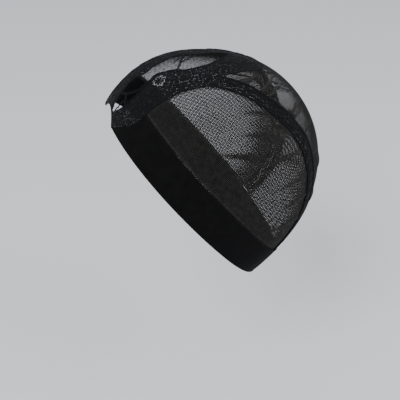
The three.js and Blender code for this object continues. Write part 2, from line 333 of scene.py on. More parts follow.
def cell_grid(low, high, pitch, sides):
    """Centres and corner keys of the six- or four-sided cells of a net between two corners of a
    plane, and the size of a key's unit. pitch is (column spacing, cell height)."""
    columns = np.arange(math.floor(low[0] / pitch[0]), math.ceil(high[0] / pitch[0]) + 1)
    rows = np.arange(math.floor(low[1] / pitch[1]), math.ceil(high[1] / pitch[1]) + 1)
    i, j = (a.ravel() for a in np.meshgrid(columns, rows, indexing="ij"))
    if sides == 6:
        across = 3
        around = np.array([[2, 0], [1, 1], [-1, 1], [-2, 0], [-1, -1], [1, -1]])
    else:
        across = 1
        around = np.array([[1, 0], [0, 1], [-1, 0], [0, -1]])
    centre = np.stack([across * i, 2 * j + (i % 2)], 1)
    unit = np.array([pitch[0] / across, pitch[1] / 2])
    return centre * unit, centre[:, None, :] + around[None], unit


def onto_border(points, inside, reach):
    """Points of the plane moved to where inside() is nought, by no more than reach."""
    moved = points.copy()
    step = 0.05
    for _ in range(4):
        value = inside(moved)
        slope = np.stack(
            [
                (inside(moved + step * axis) - inside(moved - step * axis)) / (2 * step)
                for axis in np.eye(2)
            ],
            1,
        )
        size = (slope**2).sum(1) + 1e-4
        moved = moved - np.clip(value / size, -reach, reach)[:, None] * slope
    shift = moved - points
    length = np.linalg.norm(shift, axis=1, keepdims=True)
    return points + shift * np.minimum(1, reach / np.maximum(length, 1e-9))


def lone_edges(where):
    """The edges that only one cell has."""
    edges = np.stack([where, np.roll(where, -1, 1)], -1).reshape(-1, 2)
    same = np.unique(np.sort(edges, 1), axis=0, return_inverse=True, return_counts=True)
    return edges[same[2][same[1].ravel()] == 1]


def pinched(where, count):
    """The cells at any knot where two parts of the net would touch by that knot alone."""
    lone = lone_edges(where)
    return (np.bincount(lone.ravel(), minlength=count)[where] > 2).any(1)


def net_cloth(
    name, low, high, pitch, inside, place, hole, lift, depth, material, shape=None, slant=None
):
    """A net of small cells as one closed mesh of threads, a little uneven.

    inside(plane points) is above nought within the panel, in millimetres from its border.
    place(plane points) gives the head's surface, hole(plane points, surface points) each cell's
    opening as a share of the cell (0 closed), lift and depth the threads' height over the head and
    thickness, and shape(surface points, normals) how folds move it. Lace has six-sided cells; with
    a slant the cloth is a net of four-sided cells, laid on at that angle."""
    sides, unevenness = (6, LACE_UNEVENNESS) if slant is None else (4, NET_UNEVENNESS)
    cos, sin = math.cos(slant or 0), math.sin(slant or 0)
    turn = np.array([[cos, sin], [-sin, cos]])
    box = np.array([(x, y) for x in (low[0], high[0]) for y in (low[1], high[1])]) @ turn.T
    centres, corners, unit = cell_grid(box.min(0), box.max(0), pitch, sides)
    centres = centres @ turn
    kept = inside(centres) > 0.12 * pitch[1]
    centres, corners = centres[kept], corners[kept]
    while True:
        keys, where = np.unique(corners.reshape(-1, 2), axis=0, return_inverse=True)
        where = where.reshape(-1, sides)
        stray = pinched(where, len(keys))
        if not stray.any():
            break
        centres, corners = centres[~stray], corners[~stray]
    uneven = np.random.default_rng(11).normal(size=(len(keys), 2))
    nodes = (keys * unit + unevenness * min(pitch) * np.clip(uneven, -2, 2)) @ turn
    border = np.bincount(where.ravel(), minlength=len(nodes)) < (3 if sides == 6 else 4)
    nodes[border] = onto_border(nodes[border], inside, 0.75 * max(pitch))
    centres = nodes[where].mean(1)

    def solid(plane):
        surface = place(plane)
        normal = head_normal(surface)
        moved = surface if shape is None else shape(surface, normal)
        return moved, normal

    opening = hole(centres, place(centres))
    around = np.bincount(where.ravel(), np.repeat(opening, sides)) / np.bincount(where.ravel())
    half_depth = (depth / 2 * np.clip((1 - around) / 0.4, 0.15, 1))[:, None]
    is_open = opening > 0.04
    size = opening[is_open][:, None, None]
    middles = centres[is_open][:, None, :]
    rings = middles + (nodes[where[is_open]] - middles) * size
    node_points, node_normals = solid(nodes)
    ring_points, ring_normals = solid(rings.reshape(-1, 2))
    middle_points, middle_normals = solid(centres[~is_open])
    points = np.concatenate(
        [
            node_points + (lift + half_depth) * node_normals,
            node_points + (lift - half_depth) * node_normals,
            ring_points + lift * ring_normals,
            middle_points + (lift + 0.5 * depth) * middle_normals,
            middle_points + (lift - 0.5 * depth) * middle_normals,
        ]
    )
    count = len(nodes)
    ring_start = 2 * count
    middle_start = ring_start + len(ring_points)
    middle_count = len(middle_points)
    after = np.roll(np.arange(sides), -1)
    a, b = where[is_open], where[is_open][:, after]
    ring = ring_start + np.arange(len(ring_points)).reshape(-1, sides)
    ring_after = ring[:, after]
    quads = [
        np.stack([a, b, ring_after, ring], -1).reshape(-1, 4),
        np.stack([b + count, a + count, ring, ring_after], -1).reshape(-1, 4),
    ]
    c, d = where[~is_open], where[~is_open][:, after]
    top = (middle_start + np.arange(middle_count))[:, None].repeat(sides, 1)
    triangles = [
        np.stack([c, d, top], -1).reshape(-1, 3),
        np.stack([d + count, c + count, top + middle_count], -1).reshape(-1, 3),
    ]
    lone = lone_edges(where)
    quads.append(np.stack([lone[:, 1], lone[:, 0], lone[:, 0] + count, lone[:, 1] + count], -1))
    faces = [f for group in quads + triangles for f in group.tolist()]
    return make_object(name, points, faces, material)


# ---- Materials ----------------------------------------------------------------------------------


def cloth_material(name, dark, light, roughness, grain, bump, sheen=0.03):
    """Black thread: two tones mixed by fine noise, rough, with a bump of twisted fibres.
    grain is the size of the tone patches, in metres."""
    material = bpy.data.materials.new(name)
    material.use_nodes = True
    nodes, links = material.node_tree.nodes, material.node_tree.links
    shader = next(n for n in nodes if n.type == "BSDF_PRINCIPLED")
    shader.inputs["Sheen Weight"].default_value = sheen
    shader.inputs["Sheen Roughness"].default_value = 0.4
    shader.inputs["Sheen Tint"].default_value = (0.5, 0.52, 0.56, 1)
    shader.inputs["Specular IOR Level"].default_value = 0.09
    coordinates = nodes.new("ShaderNodeTexCoord")

    def noise(size, detail):
        texture = nodes.new("ShaderNodeTexNoise")
        texture.inputs["Scale"].default_value = 1 / size
        texture.inputs["Detail"].default_value = detail
        links.new(coordinates.outputs["Object"], texture.inputs["Vector"])
        return texture

    tone = noise(grain, 3)
    ramp = nodes.new("ShaderNodeValToRGB")
    ramp.color_ramp.elements[0].position, ramp.color_ramp.elements[1].position = 0.3, 0.72
    ramp.color_ramp.elements[0].color = (*dark, 1)
    ramp.color_ramp.elements[1].color = (*light, 1)
    links.new(tone.outputs["Fac"], ramp.inputs["Fac"])
    links.new(ramp.outputs["Color"], shader.inputs["Base Color"])
    rough = nodes.new("ShaderNodeMapRange")
    rough.inputs["To Min"].default_value = roughness - 0.08
    rough.inputs["To Max"].default_value = roughness + 0.1
    links.new(tone.outputs["Fac"], rough.inputs["Value"])
    links.new(rough.outputs["Result"], shader.inputs["Roughness"])
    fine = noise(grain / 6, 2)
    relief = nodes.new("ShaderNodeBump")
    relief.inputs["Strength"].default_value = bump
    relief.inputs["Distance"].default_value = 0.0002
    links.new(fine.outputs["Fac"], relief.inputs["Height"])
    links.new(relief.outputs["Normal"], shader.inputs["Normal"])
    return material


net_black = cloth_material(
    "net_thread", (0.011, 0.0107, 0.0101), (0.024, 0.0228, 0.021), 0.6, 0.004, 0.4
)
lace_black = cloth_material(
    "lace_thread", (0.0022, 0.0024, 0.003), (0.006, 0.0064, 0.0078), 0.6, 0.0025, 0.5
)
trim_black = cloth_material(
    "trim_thread", (0.002, 0.0022, 0.0027), (0.0055, 0.006, 0.007), 0.6, 0.0025, 0.5
)
band_black = cloth_material(
    "band_elastic", (0.0012, 0.0012, 0.0013), (0.0034, 0.0034, 0.0037), 0.85, 0.006, 0.5,
    sheen=0.008,
)
stitch_black = cloth_material(
    "stitch_thread", (0.004, 0.004, 0.005), (0.012, 0.012, 0.014), 0.5, 0.002, 0.4
)

# ---- Side nets ----------------------------------------------------------------------------------

# Column spacing and cell height of the nets: the sides, and the back.
SIDE_PITCH = (0.81, 1.62)
BACK_PITCH = (0.85, 1.7)
# The angles the nets are laid on at. The threads of each cross those seen through it.
SIDE_SLANTS = {1: math.radians(45), -1: math.radians(20)}
BACK_SLANT = math.radians(75)
NET_OPENING = 0.62
NET_DEPTH = 0.4
BACK_DEPTH = 0.4
NET_LIFT = 0.4
# How far the nets run in under the lace, the trims and the band.
UNDERLAP = 0.8

# "along" is the fraction of the panel's length from the temple, "lean" how much nearer the temple
# a gather would end at the band, "run" the fraction of the panel's depth where it dies out. "core"
# is the half width in millimetres of the tightly gathered cloth, "reach" that of the ridge.
SIDE_GATHERS = named_rows(
    "along lean run height reach core tight",
    (0.42, 0.05, 0.3, 0.3, 2.5, 2.2, 0.2),
    (0.507, 0.22, 0.32, 0.6, 1.6, 1.1, 1.0),
    (0.516, 0.07, 0.4, 0.4, 3.0, 2.2, 0.5),
    (0.601, 0.15, 0.55, 0.7, 1.6, 1.1, 1.0),
    (0.69, 0.1, 0.6, 0.6, 3.0, 2.0, 0.5),
    (0.77, 0.08, 0.6, 0.6, 3.2, 2.4, 0.5),
    (0.86, 0.067, 0.95, 0.8, 3.4, 2.6, 0.75),
)


def nearest_on_line(p, line):
    """For each point, its distance from a line of points, how far along it lies (0 to 1), and the
    vector from the line to it."""
    best = np.full(len(p), np.inf)
    share, offset = np.zeros(len(p)), np.zeros((len(p), 3))
    lengths = arc_lengths(line)
    for k in range(len(line) - 1):
        step = line[k + 1] - line[k]
        t = np.clip((p - line[k]) @ step / (step @ step), 0, 1)
        away = p - line[k] - t[:, None] * step
        distance = np.linalg.norm(away, axis=1)
        closer = distance < best
        best = np.where(closer, distance, best)
        along = (lengths[k] + t * (lengths[k + 1] - lengths[k])) / lengths[-1]
        share = np.where(closer, along, share)
        offset = np.where(closer[:, None], away, offset)
    return best, share, offset


def gather_strength(p, folds):
    """How tightly the cloth is gathered at each point, from 0 to 1."""
    total = np.zeros(len(p))
    for fold in folds:
        distance, share, _ = nearest_on_line(p, fold["line"])
        fade = 1 - smoothstep(0.42, 1.0, share)
        core = fold["core"] * (1.25 - 0.6 * share)
        total = np.maximum(total, fold["tight"] * fade * np.exp(-((distance / core) ** 2)))
    return total


def gathered(folds):
    """A shape function: lifts the cloth into a ridge along each fold's line."""

    def shape(p, normal):
        lift = np.zeros(len(p))
        for fold in folds:
            distance, share, _ = nearest_on_line(p, fold["line"])
            near = np.clip(distance / fold["reach"], 0, 1)
            fade = 1 - smoothstep(0.25, 1.0, share)
            lift += fold["height"] * fade * (0.5 + 0.5 * np.cos(math.pi * near)) ** 1.5
        return p + lift[:, None] * normal

    return shape


def side_panel(side):
    """The side net's seam lines, folds, surface map and border for one side."""
    front = temple_degrees(side, SEAM_GAP, NET_BASE)
    back = nape_degrees(side, SEAM_GAP, NET_BASE)
    front_angle = float(rim_angle(crown_edge_point(front, side, SEAM_GAP)))
    back_angle = float(rim_angle(crown_edge_point(back, side, SEAM_GAP)))
    span = back_angle - front_angle
    lower = even_pace(lambda t: rim_point(front_angle + span * t, NET_BASE))
    upper = even_pace(lambda t: crown_edge_point(front + (back - front) * t, side, SEAM_GAP))
    folds = []
    for gather in SIDE_GATHERS:
        wander = 0 if side == 1 else math.sin(90 * gather["along"])
        down = np.linspace(0, gather["run"] * (1 + 0.3 * wander), 14)
        along = gather["along"] + 0.015 * wander - gather["lean"] * down
        line = upper(along) * (1 - down)[:, None] + lower(along) * down[:, None]
        folds.append({**gather, "line": onto_head(line)})

    margin = math.radians(4) * side
    angles = np.linspace(front_angle - margin, back_angle + margin, 500)
    along = arc_lengths(rim_point(angles, NET_BASE))
    stations = np.interp(np.arange(0, along[-1]), along, angles)
    heights = np.linspace(NET_BASE - 3, 113, 170)
    grid = rim_point(stations[:, None], heights[None, :])
    rows = np.arange(-3, 108.0)
    table = np.zeros((len(stations), len(rows), 3))
    for k, line in enumerate(grid):
        up = arc_lengths(line)
        up -= np.interp(NET_BASE, heights, up)
        for axis in range(3):
            table[k, :, axis] = np.interp(rows, up, line[:, axis])

    def place(plane):
        x = np.clip(plane[:, 0], 0, len(stations) - 1.001)
        y = np.clip(plane[:, 1] - rows[0], 0, len(rows) - 1.001)
        i, j = x.astype(int), y.astype(int)
        s, t = (x - i)[:, None], (y - j)[:, None]
        found = (
            table[i, j] * (1 - s) * (1 - t)
            + table[i + 1, j] * s * (1 - t)
            + table[i, j + 1] * (1 - s) * t
            + table[i + 1, j + 1] * s * t
        )
        return onto_head(found)

    def border(p):
        degrees = crown_degrees(p)
        out = side * (crown_width(p) - lace_centre(degrees)) - crown_edge(degrees)
        return np.minimum(out, height_above_rim(p) - BAND_HEIGHT) + UNDERLAP

    return {
        "size": (len(stations) - 1.0, 104.0),
        "place": place,
        "border": border,
        "folds": folds,
    }


def side_net(name, side):
    panel = side_panel(side)

    def hole(plane, p):
        degrees = crown_degrees(p)
        from_trim = side * (crown_width(p) - lace_centre(degrees)) - crown_edge(degrees)
        drawn = 0.08 * smoothstep(100, 170, degrees)
        drawn += 0.13 * smoothstep(105, 145, degrees) * (1 - smoothstep(4, 36, from_trim))
        bunched = 0.25 * smoothstep(150, 190, degrees) * (1 - smoothstep(4, 24, from_trim))
        hem = 0.3 * (1 - smoothstep(0.4, 1.9, from_trim))
        hem += 0.5 * (1 - smoothstep(1.6, 2.6, height_above_rim(p) - BAND_HEIGHT))
        tight = 0.6 * gather_strength(p, panel["folds"])
        return np.clip(NET_OPENING - drawn - bunched - hem - tight, 0.08, 0.9)

    return net_cloth(
        name,
        (0, -1),
        panel["size"],
        SIDE_PITCH,
        lambda plane: panel["border"](panel["place"](plane)),
        panel["place"],
        hole,
        NET_LIFT,
        NET_DEPTH,
        net_black,
        gathered(panel["folds"]),
        SIDE_SLANTS[side],
    )


side_left = side_net("net_side_left", 1)
side_right = side_net("net_side_right", -1)

# ---- Back net -----------------------------------------------------------------------------------

MM_PER_DEGREE = CROWN_RADIUS * math.pi / 180
LOBE_LENGTH = MM_PER_DEGREE * LOBE_BULGE
MIDDLE_DEGREES = np.linspace(20, 240, 441)
MIDDLE_ARC = arc_lengths(crown_point(MIDDLE_DEGREES, 0))

# Pleats run in from both trims: "degrees" at the trim, "lean" how much further back they end, and
# "run" how far in, as a fraction of the half width. Those of the right side wander off a little.
BACK_PLEATS = named_rows(
    "degrees lean run height reach core tight",
    (109.6, 9.5, 0.7, 0.9, 1.8, 1.1, 0.9),
    (118.3, 8.5, 0.84, 1.1, 2.0, 1.3, 1.0),
    (122.5, 6.5, 0.6, 0.8, 1.6, 1.1, 0.95),
    (136.8, 6.5, 0.8, 1.3, 2.0, 1.3, 1.0),
    (139.8, 4.5, 0.62, 0.9, 1.8, 1.0, 0.9),
    (149, 4.0, 0.8, 1.2, 2.8, 2.6, 0.5),
    (163, 2.5, 0.55, 1.3, 3.2, 3.2, 0.4),
    (174, -2.0, 0.85, 1.3, 3.2, 2.8, 0.42),
    (191, -3.5, 0.6, 1.2, 3.4, 3.4, 0.36),
)


def crown_place(plane):
    """The surface point at a width and at a length along the middle plane."""
    return crown_point(np.interp(plane[:, 1], MIDDLE_ARC, MIDDLE_DEGREES), plane[:, 0])


def crown_plane(degrees, width):
    return np.stack(np.broadcast_arrays(width, np.interp(degrees, MIDDLE_DEGREES, MIDDLE_ARC)), -1)


def behind_lobe(degrees, off_centre):
    """How far a point lies behind the lace's rounded back end, in millimetres."""
    across = np.clip(off_centre / LOBE_HALF, -1, 1)
    slope = 2 * across * LOBE_LENGTH / LOBE_HALF
    return (degrees - LACE_BACK - LOBE_BULGE * (1 - across**2)) * MM_PER_DEGREE / np.hypot(1, slope)


def back_border(p):
    degrees = crown_degrees(p)
    off_centre = crown_width(p) - lace_centre(degrees)
    sides = crown_edge(degrees) - TRIM_WIDTH - np.abs(off_centre)
    above = height_above_rim(p) - BAND_HEIGHT
    return np.minimum(np.minimum(sides, behind_lobe(degrees, off_centre)), above) + UNDERLAP


def back_net(name):
    folds = []
    for pleat in BACK_PLEATS:
        for side in (1, -1):
            wander = 0 if side == 1 else math.sin(pleat["degrees"])
            share = np.linspace(0, pleat["run"] * (1 + 0.3 * wander), 14)
            degrees = pleat["degrees"] + 2.5 * wander + pleat["lean"] * share / pleat["run"]
            half = crown_edge(degrees) - TRIM_WIDTH - SEAM_GAP
            line = crown_point(degrees, lace_centre(degrees) + side * half * (1 - share))
            folds.append({**pleat, "line": line})

    def hole(plane, p):
        degrees = crown_degrees(p)
        off_centre = np.abs(crown_width(p) - lace_centre(degrees))
        from_trim = crown_edge(degrees) - TRIM_WIDTH - off_centre
        drawn = 0.05 * (1 - smoothstep(1, 14, from_trim))
        bunched = 0.2 * smoothstep(148, 164, degrees)
        tight = 0.66 * gather_strength(p, folds)
        return np.clip(NET_OPENING + 0.07 - drawn - bunched - tight, 0.06, 0.9)

    return net_cloth(
        name,
        (-50, crown_plane(96, 0)[1]),
        (50, crown_plane(228, 0)[1]),
        BACK_PITCH,
        lambda plane: back_border(crown_place(plane)),
        crown_place,
        hole,
        NET_LIFT,
        BACK_DEPTH,
        net_black,
        gathered(folds),
        BACK_SLANT,
    )


back = back_net("net_back")

# ---- Lace ---------------------------------------------------------------------------------------

LACE_PITCH = (1.12, 0.98)
LACE_LIFT = 0.9
LACE_DEPTH = 0.5
SHEER = 0.94
GROUND = 0.12
OUTLINE = 0.34

# The sheer opening along the middle: its right and left edges, as widths to the wearer's left.
SHEER_OPENING = named_rows(
    "degrees right left",
    (42.5, 13.5, 16), (44.5, 10.5, 20.5), (48, 7.5, 24), (53, 7, 25.5),
    (57, 4.8, 26), (61, 5, 24), (65, 7.6, 21.2), (68, 5, 17.4),
    (71, 3, 17), (74, 1.5, 18), (78, -1.5, 19.5), (82, -2.5, 22),
    (86, -1.5, 21.6), (90, 0.5, 20), (94, -0.5, 17.5), (98, -2.4, 12.5),
    (102, -2.8, 7), (105.5, -3, -2.5),
)

# Thin places that run along the right border, as lines of (degrees, width) and a half width.
THIN_STREAKS = [
    {"line": [(62.7, -5.8), (65.5, -4.6), (68.4, -5.5), (72.5, -6.7)], "half_width": 1.3},
    {"line": [(56.2, 1.0), (59.6, 0.6), (61.4, -1.0)], "half_width": 1.2},
    {"line": [(45.6, -5.5), (48.3, -4.7), (50.9, -4.9)], "half_width": 0.8},
]

# Flowers worked in the dense borders and back end. "ring" leaves a thin ring round the flower.
FLOWERS = named_rows(
    "degrees width radius petals turn ring",
    (69.5, 25.2, 3.9, 8, 0.2, 2.1), (64.9, 2.0, 2.4, 6, 0.5, 1.8),
    (47.5, 31.5, 4.8, 5, 0.1, 0), (57, 35.5, 5.4, 5, 0.7, 0),
    (66, 36, 4.6, 5, 0.3, 0), (77, 32, 5.2, 5, 0.4, 0),
    (86.5, 31.5, 5.2, 5, 1.0, 0), (95, 28.5, 4.8, 5, 0.2, 0),
    (49, -12, 5.0, 5, 0.3, 0), (59, -15, 5.4, 5, 0.9, 0),
    (69.5, -17, 5.4, 5, 0.5, 0), (80, -16.5, 5.4, 5, 0.1, 0),
    (90, -15.5, 5.4, 5, 0.6, 0), (100.5, -13.5, 4.8, 5, 0.2, 0),
    (103, 16.5, 4.6, 5, 0.8, 0), (111.5, 5.5, 5.2, 5, 0.3, 0),
)

# Leaves round each flower: the angle they leave it at, their length and half width in millimetres.
LEAVES = named_rows(
    "angle length half_width",
    (0.5, 7.5, 1.7), (2.3, 6.5, 1.6), (3.7, 7.5, 1.7), (5.3, 6.5, 1.6),
)

# Sprigs that cross the sheer opening, each a line of (degrees, width).
SPRIGS = [
    [(52.4, 14.0), (53.5, 16.8), (55.6, 19.2), (58.0, 21.8), (59.6, 22.4), (62.5, 21.3),
     (65.5, 20.5)],
    [(52.4, 14.6), (52.4, 18.1), (51.3, 20.7), (49.8, 23.5)],
    [(52.4, 14.4), (51.5, 10.2), (49.8, 8.6), (48.1, 9.6), (46, 11)],
    [(51.3, 20.7), (48.5, 19.5), (46, 19), (44, 18)],
    [(78.6, 21.5), (79.8, 17), (80.9, 13.5), (81.6, 9.6), (82.8, 4.2), (83.9, 0.4), (84.3, -2.5)],
    [(81.3, 11.7), (83.8, 8.7), (85.5, 7.2), (86.8, 3.0), (87, -1)],
    [(83.0, 3.4), (81.5, 4.5), (79.6, 7.6), (78.6, 9.4)],
]


def opening_depth(degrees, width):
    """How far inside the sheer opening a point lies, in millimetres."""
    right = table_value(SHEER_OPENING, "degrees", "right", degrees)
    left = table_value(SHEER_OPENING, "degrees", "left", degrees)
    ends = np.minimum(degrees - SHEER_OPENING[0]["degrees"], SHEER_OPENING[-1]["degrees"] - degrees)
    return np.minimum(np.minimum(left - width, width - right), ends * MM_PER_DEGREE + 0.3)


HAIR_RIGHT = float(rim_angle(crown_edge_point(temple_degrees(-1, 0, 0), -1, 0)))
HAIR_LEFT = float(rim_angle(crown_edge_point(temple_degrees(1, 0, 0), 1, 0)))


def hairline_height(angle):
    u = np.clip((angle - HAIR_RIGHT) / (HAIR_LEFT - HAIR_RIGHT), 0, 1)
    return HAIRLINE_RISE * (1 - (2 * u - 1) ** 2)


def lace_border(p):
    degrees = crown_degrees(p)
    off_centre = crown_width(p) - lace_centre(degrees)
    sides = crown_edge(degrees) - np.abs(off_centre)
    back_edge = np.where(
        np.abs(off_centre) < LOBE_HALF,
        -behind_lobe(degrees, off_centre),
        (LACE_BACK - degrees) * MM_PER_DEGREE,
    )
    front = height_above_rim(p) - hairline_height(rim_angle(p))
    return np.minimum(np.minimum(sides, back_edge), front)


def petal_edge(flower, turn):
    """The radius of a flower's outline at an angle."""
    return flower["radius"] * (0.80 + 0.20 * np.cos(flower["petals"] * (turn - flower["turn"])))


def leaves_of(flower):
    """A flower inside a ring has no leaves."""
    return [] if flower["ring"] else LEAVES


def leaf_depth(x, y, flower, leaf):
    """How far inside a leaf a point lies, from 1 at its middle line to 0 at its edge."""
    angle = leaf["angle"] + flower["turn"]
    along = x * math.cos(angle) + y * math.sin(angle) - 0.92 * flower["radius"]
    across = -x * math.sin(angle) + y * math.cos(angle)
    share = along / leaf["length"]
    half = leaf["half_width"] * np.sin(math.pi * np.clip(share, 0, 1)) ** 0.8
    return np.where((share > 0) & (share < 1), 1 - np.abs(across) / np.maximum(half, 1e-3), -1)


def speckle(plane, size):
    """A number from 0 to 1 that changes from cell to cell, the same in each run."""
    value = np.sin(plane[:, 0] * 12.9898 / size + plane[:, 1] * 78.233 / size) * 43758.5453
    return value - np.floor(value)


def lace_hole(plane, p):
    degrees, width = crown_degrees(p), crown_width(p)
    hole = GROUND + 0.22 * (speckle(plane, 1) - 0.5)
    hole += 0.08 * np.sin(plane[:, 0] / 1.7) * np.sin(plane[:, 1] / 2.1)
    for flower in sorted(FLOWERS, key=lambda flower: flower["ring"]):
        centre = crown_plane(flower["degrees"], flower["width"])
        x, y = plane[:, 0] - centre[0], plane[:, 1] - centre[1]
        far, turn = np.hypot(x, y), np.arctan2(y, x)
        edge = petal_edge(flower, turn)
        for leaf in leaves_of(flower):
            depth = leaf_depth(x, y, flower, leaf)
            hole = np.where(depth > -0.75, OUTLINE * 0.9, hole)
            hole = np.where(depth > 0, 0, hole)
        if flower["ring"]:
            hole = np.where(far < edge + flower["ring"] + 1.4, 0.1, hole)
            hole = np.where(far < edge + flower["ring"], 0.92, hole)
        else:
            hole = np.where(far < edge + 1.0, OUTLINE, hole)
        hole = np.where(far < edge, 0, hole)
        ring = (far > 0.30 * flower["radius"]) & (far < 0.52 * flower["radius"])
        hole = np.where(ring, OUTLINE + 0.04, hole)
    hole *= 1 - 0.55 * (1 - smoothstep(44, 58, degrees))
    for streak in THIN_STREAKS:
        line = crown_point(*(np.array(v, float) for v in zip(*streak["line"])))
        away, share, _ = nearest_on_line(p, line)
        thinned = 0.66 * (1 - smoothstep(0.3, 1.3, away / streak["half_width"]))
        thinned *= 0.75 + 0.5 * speckle(plane, 1)
        hole = np.maximum(hole, thinned * np.sin(math.pi * np.clip(share, 0.15, 0.85)))
    depth = opening_depth(degrees, width)
    hole = np.where(depth > 0, SHEER, hole)
    hole = np.where((depth <= 0) & (depth > -1.4), 0.1, hole)
    edge = lace_border(p)
    return np.where(edge < 1.3, 0.15, hole)


lace = net_cloth(
    "lace_cloth",
    (-38, crown_plane(26, 0)[1]),
    (50, crown_plane(124, 0)[1]),
    LACE_PITCH,
    lambda plane: lace_border(crown_place(plane)),
    crown_place,
    lace_hole,
    LACE_LIFT,
    LACE_DEPTH,
    lace_black,
)


def smooth_line(points, step=0.8):
    """A rounded line through a few points of the plane, with a point every step."""
    points = np.asarray(points, float)
    keys = [
        {"at": d, "x": x, "y": y} for d, (x, y) in zip(arc_lengths(points), points.tolist())
    ]
    count = max(4, int(keys[-1]["at"] / step))
    at = np.linspace(0, keys[-1]["at"], count + 1)
    return np.stack([table_value(keys, "at", "x", at), table_value(keys, "at", "y", at)], 1)


def lace_threads(name):
    """The raised outline threads of the lace, its sprigs and the loops along its openings."""
    shell = Shell()
    top = LACE_LIFT + 0.5 * LACE_DEPTH + 0.08

    def loop_of_thread(plane, radius):
        inside = lace_border(crown_place(plane)) > 0.2
        if inside.all():
            shell.lay(crown_place(plane), top, radius, closed=True, flat=0.8)

    for flower in FLOWERS:
        centre = crown_plane(flower["degrees"], flower["width"])
        turn = np.linspace(0, 2 * math.pi, 48, endpoint=False)
        ray = np.stack([np.cos(turn), np.sin(turn)], 1)
        loop_of_thread(centre + ray * petal_edge(flower, turn)[:, None], 0.26)
        loop_of_thread(centre + ray[::3] * 0.30 * flower["radius"], 0.22)
        for leaf in leaves_of(flower):
            angle = leaf["angle"] + flower["turn"]
            along = np.array([math.cos(angle), math.sin(angle)])
            across = np.array([-along[1], along[0]])
            share = np.linspace(0, 1, 9)
            middle = centre + np.outer(0.92 * flower["radius"] + share * leaf["length"], along)
            half = leaf["half_width"] * np.sin(math.pi * share)[:, None] ** 0.8 * across
            loop_of_thread(np.concatenate([middle + half, (middle - half)[-2:0:-1]]), 0.2)
    for sprig in SPRIGS:
        line = smooth_line([crown_plane(d, w) for d, w in sprig])
        shell.lay(crown_place(line), LACE_LIFT + 0.2, 0.42, sides=5)
        for k in range(2, len(line) - 1, 2):
            step = line[k + 1] - line[k]
            step /= np.linalg.norm(step)
            hand = np.array([-step[1], step[0]]) * (1 if k % 4 else -1)
            share = np.linspace(0, 1, 5)[:, None]
            leaf = line[k] + share * 1.7 * (hand * 0.8 + step * 0.6)
            radius = 0.15 + 0.35 * np.sin(math.pi * share[:, 0] ** 0.7)
            shell.lay(crown_place(leaf), LACE_LIFT + 0.2, radius)
    rows = np.linspace(44, 104.5, 150)
    for edge in ("right", "left"):
        width = table_value(SHEER_OPENING, "degrees", edge, rows)
        out = 1 if edge == "left" else -1
        line = crown_plane(rows, width + out * 0.45)
        shell.lay(crown_place(line), LACE_LIFT + 0.25, 0.38, sides=5)
        lengths = arc_lengths(line)
        for at in np.arange(0.8, lengths[-1] - 0.8, 1.9):
            base = np.array([np.interp(at, lengths, line[:, k]) for k in (0, 1)])
            ahead = np.array([np.interp(at + 0.3, lengths, line[:, k]) for k in (0, 1)]) - base
            ahead /= np.linalg.norm(ahead)
            inwards = np.array([ahead[1], -ahead[0]])
            inwards *= -out * np.sign(inwards[0] + 1e-9)
            bend = np.linspace(0, math.pi, 7)[:, None]
            loop = base + 0.75 * np.cos(bend) * ahead + 1.05 * np.sin(bend) * inwards
            shell.lay(crown_place(loop), LACE_LIFT + 0.25, 0.2)
    return shell.build(name, lace_black)


lace_raised = lace_threads("lace_raised_threads")

# ---- Trims --------------------------------------------------------------------------------------

TRIM_PITCH = (1.05, 0.95)
TRIM_LIFT = 0.95
TRIM_DEPTH = 0.6
# The leaves worked along the trims: their length and half width.
TRIM_LEAF, TRIM_LEAF_HALF = 9.0, 2.9


def trim_panel(side):
    top = LACE_BACK + math.degrees(SEAM_GAP / CROWN_RADIUS)
    degrees = np.linspace(top - 2, nape_degrees(side, -TRIM_WIDTH, NET_BASE) + 4, 300)
    lengths = arc_lengths(crown_edge_point(degrees, side, -TRIM_WIDTH / 2))
    lengths -= np.interp(top, degrees, lengths)

    def place(plane):
        at = np.interp(plane[:, 1], lengths, degrees)
        return crown_edge_point(at, side, -plane[:, 0])

    def border(plane):
        x, y = plane[:, 0], plane[:, 1]
        ends = np.minimum(y, height_above_rim(place(plane)) - NET_BASE)
        return np.minimum(np.minimum(x, TRIM_WIDTH - x), ends)

    return {"place": place, "border": border, "length": float(lengths[-1])}


def back_trim(name, side):
    panel = trim_panel(side)

    def hole(plane, p):
        x, y = plane[:, 0] - TRIM_WIDTH / 2, plane[:, 1]
        opening = 0.15 + 0.2 * (speckle(plane, 1) - 0.5)
        share = (y / TRIM_LEAF) % 1
        leaf = TRIM_LEAF_HALF * np.abs(np.sin(math.pi * share)) ** 0.8
        opening = np.where(np.abs(x) < leaf + 0.9, 0.34, opening)
        opening = np.where(np.abs(x) < leaf, 0, opening)
        opening = np.where((np.abs(x) < 0.6) & (leaf > 1.6), 0.34, opening)
        return np.where(np.abs(x) > TRIM_WIDTH / 2 - 1.5, 0.12, opening)

    made = net_cloth(
        name,
        (0, -2),
        (TRIM_WIDTH, panel["length"]),
        TRIM_PITCH,
        panel["border"],
        panel["place"],
        hole,
        TRIM_LIFT,
        TRIM_DEPTH,
        trim_black,
    )
    return made, panel


trim_left, trim_panel_left = back_trim("trim_back_left", 1)
trim_right, trim_panel_right = back_trim("trim_back_right", -1)


